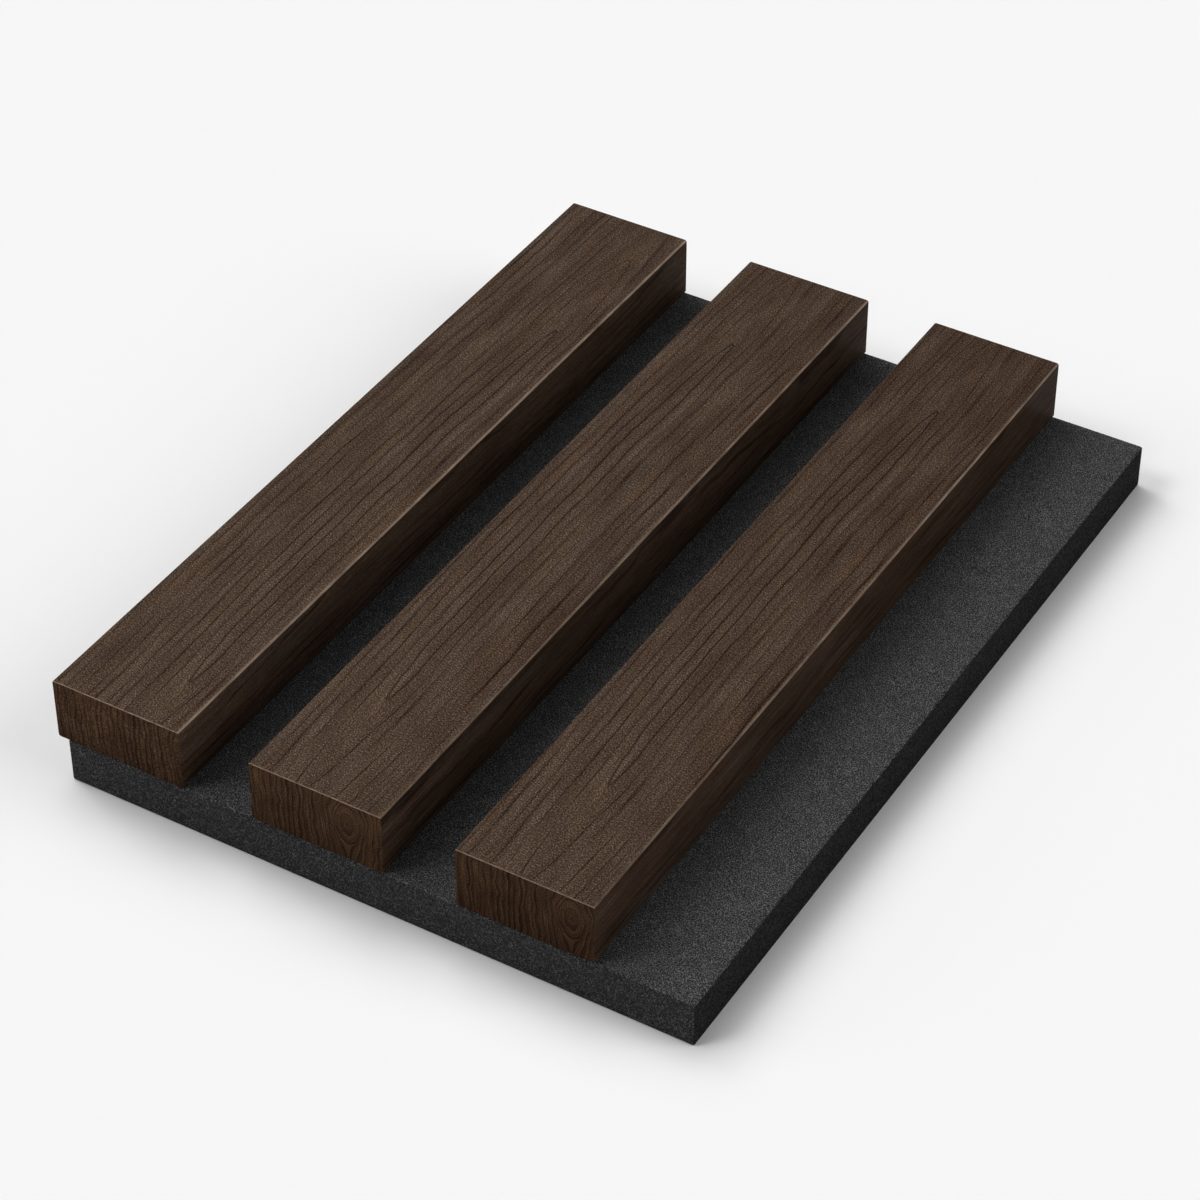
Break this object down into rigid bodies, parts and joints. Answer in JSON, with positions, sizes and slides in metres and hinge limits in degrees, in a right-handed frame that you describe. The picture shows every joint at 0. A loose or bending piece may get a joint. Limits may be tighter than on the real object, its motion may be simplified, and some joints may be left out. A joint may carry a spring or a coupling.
{
  "type": "acoustic slat wall panel",
  "caption": "Short length of acoustic wall panel: parallel timber slats on a dense felt backing, with a bare felt lip on one side.",
  "frame": {"origin": "under the middle of the whole panel, in the plane of its back face", "axes": "+X across the slats towards the bare felt lip, +Y along the slats, +Z from the back face towards the room"},
  "size_m": [0.1244, 0.1688, 0.0214],
  "materials": {
    "timber": "satin",
    "felt": "matte",
    "staple_wire": "satin"
  },
  "bodies": {
    "root": {"backing_board": "felt", "left_slat": "timber", "middle_slat": "timber", "right_slat": "timber", "staples": "staple_wire"}
  },
  "joints": []
}
